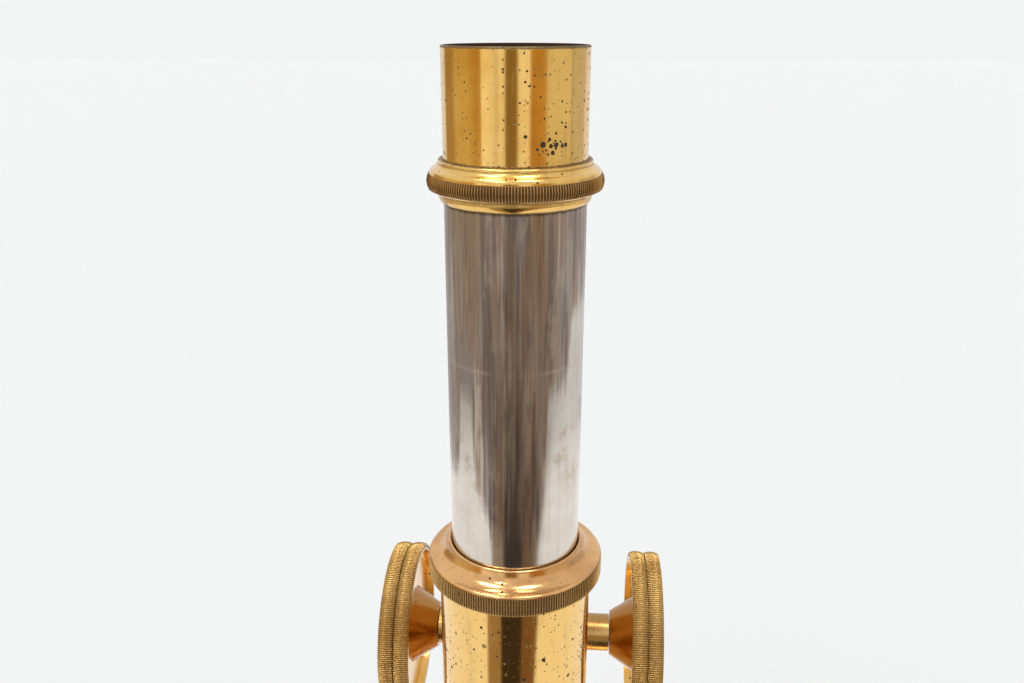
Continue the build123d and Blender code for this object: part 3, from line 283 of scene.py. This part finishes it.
def nickel(name):
    """Nickel plate under a brown and violet film, which ends lower or higher round the tube."""
    material, finish, shader = new_finish(name, Metallic=1.0)
    place = finish.place()
    z = finish.axes(place)[2]

    def streaks(across, along, detail, rough, start):
        """Noise drawn out along the tube, with features per metre across it and along it."""
        drawn = finish.stretched(finish.shifted(place, (start, 0, 0)), across, across, along)
        return finish.noise(drawn, 1, detail, rough)

    broad = streaks(260, 14, 3, 0.55, 0.0)
    fine = streaks(1100, 24, 4, 0.6, 0.7)
    hair = streaks(4200, 60, 2, 0.5, 0.2)
    hue = streaks(340, 16, 2, 0.5, 0.3)
    cool = streaks(300, 12, 2, 0.5, 0.9)
    patch = streaks(210, 60, 4, 0.62, 0.6)
    cloud = finish.noise(place, 110, 4, 0.65)
    height = (z - collar_high.z) / (ring_low.z - collar_high.z)
    # where the film ends: azimuth in degrees, then height as a share of the tube that shows
    ends = [
        (-180, 0.5), (-92, 0.45), (-80, 0.34), (-58, 0.26), (-51, 0.30), (-47, 0.52), (-36, 0.50), (-31, 0.27),
        (-22, 0.20), (-16, 0.12), (24, 0.12), (29, 0.18), (31.5, 0.50), (51, 0.56), (57, 0.72), (90, 0.80),
        (180, 0.5),
    ]
    end = finish.sweep(finish.turn(place, optic), ends)
    edge = height - end + (cloud - 0.5) * 0.16 + (fine - 0.5) * 0.18
    film = edge.rise(-0.07, 0.06)
    silver = finish.blend(cloud.rise(0.3, 0.7), (0.74, 0.69, 0.62), (0.66, 0.60, 0.53))
    dull = finish.blend(hue.rise(0.40, 0.60), (0.40, 0.335, 0.285), (0.385, 0.265, 0.195))
    dull = finish.blend(cool.rise(0.55, 0.66) * 0.85, dull, (0.295, 0.265, 0.27))
    dull = finish.blend(hue.rise(0.40, 0.33) * 0.7, dull, (0.36, 0.22, 0.185))
    dull = finish.blend(broad.rise(0.54, 0.62) * 0.75, dull, (0.20, 0.155, 0.135))
    dull = finish.blend(broad.rise(0.43, 0.36) * 0.8, dull, (0.62, 0.53, 0.44))
    dull = finish.blend(patch.rise(0.54, 0.64) * 0.45, dull, (0.52, 0.44, 0.36))
    dull = finish.blend(patch.rise(0.45, 0.36) * 0.45, dull, (0.24, 0.175, 0.15))
    colour = finish.blend(film * 0.95, silver, dull)
    stained = cloud.rise(0.54, 0.66) * height.between(0.24, 0.46, 0.05)
    colour = finish.blend(stained * (1 - film) * 0.6, colour, (0.46, 0.35, 0.25))
    colour = finish.blend(fine.rise(0.56, 0.66) * (0.08 + film * 0.6), colour, (0.17, 0.13, 0.115))
    colour = finish.blend(fine.rise(0.42, 0.34) * film * 0.5, colour, (0.62, 0.54, 0.46))
    colour = finish.blend(hair.rise(0.60, 0.68) * (0.10 + 0.35 * film), colour, (0.14, 0.105, 0.09))
    rub = height.between(0.575, 0.585, 0.006) * cloud.rise(0.40, 0.6) * 0.25
    colour = finish.blend(rub, colour, (0.70, 0.60, 0.52))
    seam = (z + (fine - 0.5) * 1.2 * MM).rise(ring_low.z - 0.9 * MM, ring_low.z - 0.2 * MM)
    colour = finish.blend(seam * 0.85, colour, (0.10, 0.065, 0.03))
    finish.feed(shader.inputs["Base Color"], colour)
    finish.feed(shader.inputs["Roughness"], 0.09 + film * 0.11 + fine * 0.07 + cloud * 0.04)
    finish.feed(shader.inputs["Normal"], finish.bump(hair * 0.5 + fine * 0.5, 0.12, 0.02 * MM))
    return material


def steel(name):
    """Polished screw steel, a little blued."""
    material, finish, shader = new_finish(name, Metallic=1.0)
    place = finish.place()
    tone = finish.noise(place, 300, 4, 0.6)
    lines = finish.noise(place, 2500, 3)
    colour = finish.blend(tone.rise(0.4, 0.66), (0.30, 0.31, 0.35), (0.13, 0.10, 0.11))
    finish.feed(shader.inputs["Base Color"], colour)
    finish.feed(shader.inputs["Roughness"], 0.22 + tone * 0.12 + lines * 0.06)
    finish.feed(shader.inputs["Normal"], finish.bump(lines, 0.1, 0.02 * MM))
    return material


def blackened(name):
    """Browned and blackened brass, as inside a tube."""
    material, finish, shader = new_finish(name, Metallic=0.6)
    place = finish.place()
    tone = finish.noise(place, 240, 4, 0.6)
    rub = finish.noise(finish.stretched(place, 900, 900, 60), 1, 3)
    colour = finish.blend(tone.rise(0.45, 0.75), (0.030, 0.022, 0.016), (0.090, 0.066, 0.048))
    colour = finish.blend(rub.rise(0.66, 0.78) * 0.5, colour, (0.30, 0.18, 0.07))
    finish.feed(shader.inputs["Base Color"], colour)
    finish.feed(shader.inputs["Roughness"], 0.42 + tone * 0.2)
    finish.feed(shader.inputs["Normal"], finish.bump(tone, 0.1, 0.05 * MM))
    return material


def silvered(name):
    """Silvered glass, with a brown edge where the silver has gone."""
    material, finish, shader = new_finish(name, Metallic=1.0, Coat_Weight=1.0, Coat_Roughness=0.02)
    place = finish.place()
    cloud = finish.noise(place, 130, 5, 0.6)
    reach = finish.length(finish.shifted(place, -middle("mirror_cell")))
    edge = (reach + (cloud - 0.5) * 6 * MM).rise(22.0 * MM, 24.6 * MM)
    freckle = spots(finish, place, 260, 0.5 * MM, 0.25)
    lost = (edge * 0.8).maths("MAXIMUM", freckle * 0.7)
    finish.feed(shader.inputs["Base Color"], finish.blend(lost, (0.86, 0.88, 0.89), (0.10, 0.075, 0.05)))
    finish.feed(shader.inputs["Roughness"], 0.02 + lost * 0.35 + cloud * 0.02)
    return material


def lens(name):
    """Coated objective glass, dark because the tube behind it is."""
    material, finish, shader = new_finish(name, Transmission_Weight=0.6, IOR=1.52)
    place = finish.place()
    dust = finish.noise(place, 2500, 3).rise(0.6, 0.8)
    finish.feed(shader.inputs["Base Color"], finish.blend(dust, (0.55, 0.62, 0.66), (0.8, 0.8, 0.76)))
    finish.feed(shader.inputs["Roughness"], 0.02 + dust * 0.12)
    return material


def leather(name):
    """Brown leather pads, worn smooth."""
    material, finish, shader = new_finish(name)
    place = finish.place()
    cells = {"Vector": place, "Scale": 1400.0}
    grain = finish.node("ShaderNodeTexVoronoi", {"feature": "DISTANCE_TO_EDGE"}, cells)
    tone = finish.noise(place, 200, 4)
    finish.feed(shader.inputs["Base Color"], finish.blend(tone, (0.055, 0.026, 0.012), (0.12, 0.06, 0.028)))
    finish.feed(shader.inputs["Roughness"], 0.75 - tone * 0.2)
    finish.feed(shader.inputs["Normal"], finish.bump(grain.rise(0.0, 0.2), 0.4, 0.1 * MM))
    return material


GOLD = (0.88, 0.56, 0.165)
AMBER = (0.76, 0.42, 0.085)
PALE_GOLD = (0.90, 0.58, 0.195)
COPPERY = (0.85, 0.49, 0.20)
ROSE = (0.66, 0.345, 0.13)


def cup_cluster(finish, place):
    """The group of large pits low on the right of the cup."""
    skin = finish.unrolled(place, optic, CUP_WALL)
    turned = 34 / 360
    along = (0.5 + turned) * 2 * pi * CUP_WALL
    away = finish.shifted(skin, (-along, -cup_low.z - 10.7 * MM, 0))
    reach = finish.length(finish.stretched(away, 1.0, 1.35, 1.0))
    return spots(finish, skin, 640, 0.86 * MM, 0.9, flat=True) * reach.rise(3.9 * MM, 3.3 * MM)


def tube_cluster(finish, place):
    """Larger pits lower down both sides of the body tube."""
    skin = finish.shifted(finish.unrolled(place, optic, TUBE_WALL), (0.2, 0.7, 0))
    low = finish.axes(place)[2].rise(collar_low.z - 6 * MM, collar_low.z - 16 * MM)
    patchy = finish.noise(place, 45, 2).rise(0.42, 0.56)
    return spots(finish, skin, 330, 0.75 * MM, 0.42, flat=True) * low * patchy


def cup_grime_and_shade(finish, place):
    """Dirt along the top lip, and dirt with painted shade where the cup meets its ring and over its inside."""
    z = finish.axes(place)[2]
    ragged = (finish.noise(finish.stretched(place, 900, 900, 300), 1, 4) - 0.5) * 1.6 * MM
    seam = (z + ragged * 0.5).rise(ring_high.z + 0.5 * MM, ring_high.z)
    lip = (z + ragged * 0.3).rise(cup_high.z - 0.7 * MM, cup_high.z - 0.35 * MM)
    inside = radius_round(finish, place, optic, "Z").rise(16.5 * MM, 16.3 * MM)
    return (seam * 0.7 + lip * 0.85).maths("MAXIMUM", inside)


def ring_grime_and_shade(finish, place):
    """Brown dirt with painted shade between the ridges of the eyepiece ring and in its steps."""
    z = finish.axes(place)[2]
    radius = radius_round(finish, place, optic, "Z")
    band = z.between(ring_low.z + 2.9 * MM, ring_low.z + 6.6 * MM, 0.1 * MM) * radius.rise(19.7 * MM, 20.0 * MM)
    ragged = (finish.noise(finish.stretched(place, 900, 900, 500), 1, 4) - 0.5) * MM
    step = (z + ragged).between(ring_low.z + 2.0 * MM, ring_low.z + 2.6 * MM, 0.15 * MM)
    foot = (z + ragged * 0.4).rise(ring_low.z + 0.5 * MM, ring_low.z + 0.1 * MM)
    hollow = (z + ragged * 0.4).between(ring_low.z + 8.95 * MM, ring_low.z + 9.2 * MM, 0.15 * MM)
    joint = (z + ragged * 0.2).rise(ring_high.z - 0.25 * MM, ring_high.z - 0.1 * MM)
    return (band * 0.95 + step * 0.5 + foot * 0.8 + hollow * 0.55 + joint * 0.7).maths("MINIMUM", 1.0)


def collar_grime_and_shade(finish, place):
    """Brown dirt with painted shade between the ridges of the collar and inside its mouth."""
    z = finish.axes(place)[2]
    radius = radius_round(finish, place, optic, "Z")
    band = z.between(collar_low.z, collar_high.z - 4.7 * MM, 0.1 * MM) * radius.rise(22.7 * MM, 22.95 * MM)
    ragged = (finish.noise(place, 700, 4) - 0.5) * 0.7 * MM
    mouth = (radius + ragged).rise(17.5 * MM, 17.25 * MM)
    return (band * 0.9 + mouth * 0.4).maths("MINIMUM", 1.0)


def knob_grime_and_shade(finish, place):
    """Brown dirt with painted shade between the ridges of the knobs and in the groove between the bands."""
    radius = radius_round(finish, place, knob_axis, "X")
    return radius.rise(24.6 * MM, 25.4 * MM) * 0.6


def knob_hub(finish, place):
    """The knobs' hubs, where the old lacquer is thickest, made darker; the darkening also paints the shade on
    them.
    """
    return radius_round(finish, place, knob_axis, "X").rise(13.2 * MM, 12.0 * MM) * 0.85


def seam_grime(finish, place):
    """Patches of old polish left on the stand, spread by noise."""
    patch = finish.noise(place, 38, 4, 0.65)
    fine = finish.noise(place, 700, 3, 0.6)
    return patch.rise(0.60, 0.74) * fine.rise(0.40, 0.62) * 0.45


finishes = {
    "cup": brass("bright_lacquer", GOLD, AMBER, 1.0, 0.12, wall=CUP_WALL, grime_and_shade=cup_grime_and_shade, cluster=cup_cluster),
    "ring": brass("ring_lacquer", GOLD, AMBER, grime_and_shade=ring_grime_and_shade, rough=0.17),
    "collar": brass("coppery_lacquer", COPPERY, ROSE, grime_and_shade=collar_grime_and_shade, rough=0.15, spotted=0.5),
    "tube": brass("tube_lacquer", PALE_GOLD, GOLD, 0.8, 0.10, wall=TUBE_WALL, cluster=tube_cluster),
    "knob": brass("knob_lacquer", GOLD, AMBER, grime_and_shade=knob_grime_and_shade, rough=0.22, toned=knob_hub),
    "neck": brass("neck_lacquer", (0.74, 0.47, 0.165), (0.42, 0.22, 0.06), rough=0.24),
    "ridge": brass("rubbed_ridges", (0.78, 0.50, 0.17), (0.50, 0.28, 0.075), 0.3, 0.26, coat=0.2),
    "dull_ridge": brass("browned_ridges", (0.62, 0.35, 0.12), (0.22, 0.11, 0.035), rough=0.30, coat=0.1),
    "stand": brass("stand_lacquer", GOLD, AMBER, grime_and_shade=seam_grime, rough=0.2),
    "fitting": brass("fitting_lacquer", GOLD, AMBER, rough=0.19),
    "spring": brass("spring_sheet", PALE_GOLD, GOLD, rough=0.24, coat=0.1),
    "nickel": nickel("tarnished_nickel"),
    "steel": steel("screw_steel"),
    "black": blackened("blackened_brass"),
    "silver": silvered("silvered_glass"),
    "lens": lens("lens_glass"),
    "leather": leather("pad_leather"),
}

worn_by = {
    "cup": ["eyepiece_socket"],
    "ring": ["eyepiece_ring"],
    "collar": ["body_collar"],
    "tube": ["body_tube"],
    "knob": ["knob_left", "knob_right"],
    "neck": ["pinion_bush_left", "pinion_bush_right"],
    "stand": [
        "foot",
        "pillar_left",
        "pillar_right",
        "pillar_head_left",
        "pillar_head_right",
        "limb",
        "stage_base",
    ],
    "spring": ["clip_leaf_left", "clip_leaf_right"],
    "nickel": ["draw_tube"],
    "steel": [
        "pillar_bolts",
        "trunnion_axle",
        "limb_cover_screws",
        "stage_screws",
        "wheel_screw",
        "pinion_shaft",
        "knob_screws",
        "fine_focus_spindle",
    ],
    "black": ["draw_guide", "draw_diaphragm", "aperture_wheel"],
    "silver": ["mirror_plane", "mirror_concave"],
    "lens": ["objective_lenses"],
    "leather": ["foot_pads"],
}
finish_of = {node: name for name, nodes in worn_by.items() for node in nodes}
for node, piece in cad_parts.items():
    piece.data.materials.clear()
    piece.data.materials.append(finishes[finish_of.get(node, "fitting")])


# ---------------------------------------------------------------- milled bands
def milling_tree():
    """Geometry nodes that stand ridges side by side round the Z axis, along an arched band."""
    tree = bpy.data.node_groups.new("milling", "GeometryNodeTree")
    face = tree.interface
    face.new_socket("Geometry", in_out="OUTPUT", socket_type="NodeSocketGeometry")
    face.new_socket("Ridges", in_out="INPUT", socket_type="NodeSocketInt")
    for name in ("Radius", "Arch", "Width", "Start", "End"):
        face.new_socket(name, in_out="INPUT", socket_type="NodeSocketFloat")
    face.new_socket("Finish", in_out="INPUT", socket_type="NodeSocketMaterial")
    kit = Finish(tree)
    given = tree.nodes.new("NodeGroupInput").outputs
    ridges, radius, arch, width, start, end = [Wire(kit, given[index]) for index in range(6)]

    def point(x, z):
        return kit.node("ShaderNodeCombineXYZ", values={0: x, 2: z})

    low = point(radius - arch, start)
    high = point(radius - arch, end)
    top = point(radius + arch, (start + end) * 0.5)
    bent = {"Resolution": 4, "Start": low, "Middle": top, "End": high}
    spine = kit.node("GeometryNodeCurveQuadraticBezier", values=bent)
    round_section = {"Resolution": 4, "Radius": width}
    section = kit.node("GeometryNodeCurvePrimitiveCircle", {"mode": "RADIUS"}, round_section)
    swept = {"Curve": spine, "Profile Curve": section, "Fill Caps": True}
    ridge = kit.node("GeometryNodeCurveToMesh", values=swept)
    places = kit.node("GeometryNodeMeshLine", {"mode": "OFFSET"}, {"Count": ridges, "Offset": (0.0, 0.0, 0.0)})
    number = kit.node("GeometryNodeInputIndex")
    turn = kit.node("ShaderNodeCombineXYZ", values={2: number * (2 * pi) / ridges})
    stands = {"Points": places, "Instance": ridge, "Rotation": turn}
    stood = kit.node("GeometryNodeInstanceOnPoints", values=stands)
    whole = kit.node("GeometryNodeRealizeInstances", values={0: stood})
    finished = {"Geometry": whole, "Material": Wire(kit, given[6])}
    painted = kit.node("GeometryNodeSetMaterial", values=finished)
    result = tree.nodes.new("NodeGroupOutput")
    tree.links.new(painted.socket, result.inputs[0])
    return tree


milling = milling_tree()


def milled_band(name, body, centre, axis, finish, **sizes):
    """Ridges round an axis through centre, as one plain mesh that rides on a body."""
    holder = bpy.data.objects.new(name, bpy.data.meshes.new(name))
    bpy.context.scene.collection.objects.link(holder)
    modifier = holder.modifiers.new("milling", "NODES")
    modifier.node_group = milling
    given = {item.name: item.identifier for item in milling.interface.items_tree}
    for size, value in sizes.items():
        modifier[given[size]] = value
    modifier[given["Finish"]] = finish
    bpy.context.view_layer.update()
    made = bpy.data.meshes.new_from_object(holder.evaluated_get(bpy.context.evaluated_depsgraph_get()))
    holder.modifiers.clear()
    holder.data = made
    turn = Vector((0, 0, 1)).rotation_difference(Vector(axis)).to_matrix().to_4x4()
    made.transform(Matrix.Translation(centre) @ turn)
    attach(holder, body)


def ridge_sizes(radius, start, end, pitch, arch=0.0, proud=0.25 * MM):
    """Sizes of a band whose ridges stand proud of a band of the given radius, in metres."""
    width = 0.30 * pitch
    return {
        "Ridges": round(2 * pi * radius / pitch),
        "Radius": radius + proud - width,
        "Arch": arch,
        "Width": width,
        "Start": start,
        "End": end,
    }


def axis_point(node, axis):
    """Where a turned node's axis crosses the plane through the origin."""
    point = middle(node)
    point["XYZ".index(axis)] = 0
    return point


collar_sizes = ridge_sizes(
    COLLAR_BAND, collar_low.z + 0.15 * MM, collar_high.z - 4.8 * MM, 0.69 * MM, proud=0.28 * MM
)
ring_sizes = ridge_sizes(
    RING_BAND, ring_low.z + 3.2 * MM, ring_low.z + 6.6 * MM, 0.69 * MM, arch=0.45 * MM, proud=0.3 * MM
)
optic_point = axis_point("body_tube", "Z")
milled_band("collar_milling", "body", optic_point, (0, 0, 1), finishes["ridge"], **collar_sizes)
milled_band("eyepiece_ring_milling", "draw", optic_point, (0, 0, 1), finishes["dull_ridge"], **ring_sizes)

for side, hand in ((-1, "left"), (1, "right")):
    knob_low, knob_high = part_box(f"knob_{hand}")
    outer = max(abs(knob_low.x), abs(knob_high.x))
    inner = outer - 9.5 * MM
    half = (inner + outer) / 2
    gap = 0.1 * MM
    bands = {"inner": (inner, half - gap), "outer": (half + gap, outer)}
    for band, (start, end) in bands.items():
        name = f"knob_{hand}_{band}_milling"
        sizes = ridge_sizes(KNOB_BAND, start + gap, end - gap, 0.68 * MM, arch=0.5 * MM, proud=0.22 * MM)
        milled_band(name, "coarse_drive", knob_axis, (side, 0, 0), finishes["ridge"], **sizes)

# smaller milled heads: node, body, axis, radius in mm, and the band's ends in mm in from the head's outer end
small_heads = [
    ("fine_focus_head", "fine_drive", "Z", 8.8, 10.1, 2.4),
    ("clip_post_left", "turntable", "Z", 4.2, 4.0, 0.5),
    ("clip_post_right", "turntable", "Z", 4.2, 4.0, 0.5),
    ("substage_clamp_screw", "substage", "X", 5.0, 3.9, 0.5),
    ("mirror_clamp_screw", "mirror_carrier", "X", 5.0, 3.9, 0.5),
]
along = {"X": (1, 0, 0), "Z": (0, 0, 1)}
for node, body, axis, radius, start, end in small_heads:
    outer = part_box(node)[1]["XYZ".index(axis)]
    sizes = ridge_sizes(radius * MM, outer - start * MM, outer - end * MM, 0.66 * MM, proud=0.18 * MM)
    milled_band(f"{node}_milling", body, axis_point(node, axis), along[axis], finishes["ridge"], **sizes)

for side, hand in ((-1, "left"), (1, "right")):
    nut = f"trunnion_nut_{hand}"
    nut_low, nut_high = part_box(nut)
    start = min(abs(nut_low.x), abs(nut_high.x)) + 0.5 * MM
    sizes = ridge_sizes(NUT_BAND, start, start + 3.6 * MM, 0.7 * MM, proud=0.2 * MM)
    milled_band(f"{nut}_milling", "stand", axis_point(nut, "X"), (side, 0, 0), finishes["ridge"], **sizes)


# ---------------------------------------------------------------- studio
BACKDROP = (0.895, 0.907, 0.905)
BROWN_SHADE = (0.36, 0.26, 0.17)
RUST_SHADE = (0.21, 0.12, 0.065)
CORE = (0.05, 0.038, 0.035)
CEILING = (0.86, 0.86, 0.86)
SOFT_LIGHT = (0.78, 0.78, 0.78)
LAMP_LIGHT = (9.0, 8.8, 8.4)
LAMPS = [(-64, 67, 8), (-23, 51, 4), (47, 75, 8)]  # azimuth, elevation and half width in degrees


def studio_world():
    """A pale backdrop, with a room in the reflections.

    White paper lies below, a dark figure stands in front, and lamps hang above.
    """
    world = bpy.data.worlds.new("studio")
    world.use_nodes = True
    kit = Finish(world.node_tree)
    background = world.node_tree.nodes["Background"]
    direction = kit.node("ShaderNodeTexCoord", out="Generated")
    z = kit.axes(direction)[2]
    turn = kit.turn(direction, Vector())
    # the figure in front is narrower towards the floor on its right
    aside = turn - 0.5
    drawn_in = aside * (1 - aside.rise(0.0, 0.01) * (z + 0.57) * 3.0) + 0.5
    # azimuth in degrees, then a grey or a colour
    figure = [
        (-180, 1.0), (-39, 1.0), (-37, BROWN_SHADE), (-18, BROWN_SHADE), (-15.5, CORE), (14.5, CORE),
        (17, RUST_SHADE), (41, RUST_SHADE), (43, 1.0), (180, 1.0),
    ]
    middle_ring = [
        (-180, 0.66), (-140, 0.62), (-85, (0.52, 0.50, 0.47)), (-30, (0.46, 0.42, 0.38)),
        (-14, (0.36, 0.32, 0.28)), (16, (0.34, 0.30, 0.26)), (34, (0.40, 0.35, 0.30)), (62, (0.48, 0.46, 0.43)),
        (80, 0.60), (110, 0.78), (180, 0.66),
    ]
    horizon = [
        (-180, 0.85), (-134, 0.85), (-130, (0.40, 0.28, 0.14)), (-108, (0.46, 0.34, 0.17)),
        (-100, (0.66, 0.56, 0.34)), (-76, (0.68, 0.57, 0.31)), (-58, (0.56, 0.38, 0.14)),
        (-50, (0.60, 0.40, 0.15)), (-48, 1.12), (-43, 1.05), (-29, 0.92), (-25, 0.74), (-20, 1.02),
        (-13, 0.95), (-10, (0.27, 0.19, 0.08)), (6, (0.30, 0.21, 0.09)), (9, 0.96), (24, 1.0),
        (28, (0.52, 0.30, 0.08)), (49, (0.58, 0.36, 0.12)), (55, (0.76, 0.72, 0.60)),
        (97, (0.76, 0.73, 0.64)), (99, 0.42), (102, 0.62), (134, 0.62), (138, 0.85),
    ]
    low = kit.blend(z.rise(-0.47, -0.40), kit.sweep(drawn_in, figure), kit.sweep(turn, middle_ring))
    room = kit.blend(z.rise(-0.24, -0.16), low, kit.sweep(turn, horizon))
    room = kit.blend(z.rise(0.16, 0.40), room, CEILING)
    for azimuth, elevation, width in LAMPS:
        flat = cos(radians(elevation))
        toward = (sin(radians(azimuth)) * flat, -cos(radians(azimuth)) * flat, sin(radians(elevation)))
        product = {"operation": "DOT_PRODUCT"}
        facing = kit.node("ShaderNodeVectorMath", product, {0: direction, 1: toward}, out="Value")
        lit = facing.rise(cos(radians(width + 2)), cos(radians(width)))
        room = kit.blend(lit, room, LAMP_LIGHT)
    ray = world.node_tree.nodes.new("ShaderNodeLightPath").outputs
    seen = Wire(kit, ray["Is Camera Ray"])
    mirrored = Wire(kit, ray["Is Glossy Ray"])
    light = kit.blend(mirrored, SOFT_LIGHT, room)
    kit.feed(background.inputs["Color"], kit.blend(seen, light, BACKDROP))
    background.inputs["Strength"].default_value = 1.0
    bpy.context.scene.world = world


def studio_floor():
    """A wide pale floor that reflections don't see; they find the same paper in the world."""
    half = 12.0
    corners = [(-half, -half, 0), (half, -half, 0), (half, half, 0), (-half, half, 0)]
    mesh = bpy.data.meshes.new("floor")
    mesh.from_pydata(corners, [], [(0, 1, 2, 3)])
    floor = bpy.data.objects.new("floor", mesh)
    bpy.context.scene.collection.objects.link(floor)
    material, finish, shader = new_finish("floor_paper", Roughness=0.9)
    grain = finish.noise(finish.place(), 900, 3)
    finish.feed(shader.inputs["Base Color"], finish.blend(grain, (0.86, 0.865, 0.87), (0.88, 0.885, 0.89)))
    mesh.materials.append(material)
    floor.visible_glossy = False


def soft_sun():
    """A wide soft light from the upper left, which casts the faint shadow on the floor."""
    data = bpy.data.lights.new("soft_sun", "SUN")
    data.energy = 1.0
    data.angle = radians(40)
    sun = bpy.data.objects.new("soft_sun", data)
    bpy.context.scene.collection.objects.link(sun)
    sun.rotation_euler = (radians(28), radians(-24), 0)
    sun.visible_glossy = False


def set_camera():
    """Close to the eyepiece, a little above it and looking down the tube's front."""
    data = bpy.data.cameras.new("camera")
    data.lens = 31.92
    data.sensor_width = 36.0
    camera = bpy.data.objects.new("camera", data)
    bpy.context.scene.collection.objects.link(camera)
    camera.location = (optic.x + 15.6 * MM, optic.y - 213.4 * MM, cup_high.z + 5.2 * MM)
    turned, down = radians(4.4), radians(19.51)
    look = Vector((-sin(turned) * cos(down), cos(turned) * cos(down), -sin(down)))
    camera.rotation_euler = look.to_track_quat("-Z", "Y").to_euler()
    data.clip_start = 0.01
    bpy.context.scene.camera = camera


studio_world()
studio_floor()
soft_sun()
set_camera()
bpy.context.scene.view_settings.view_transform = "Standard"
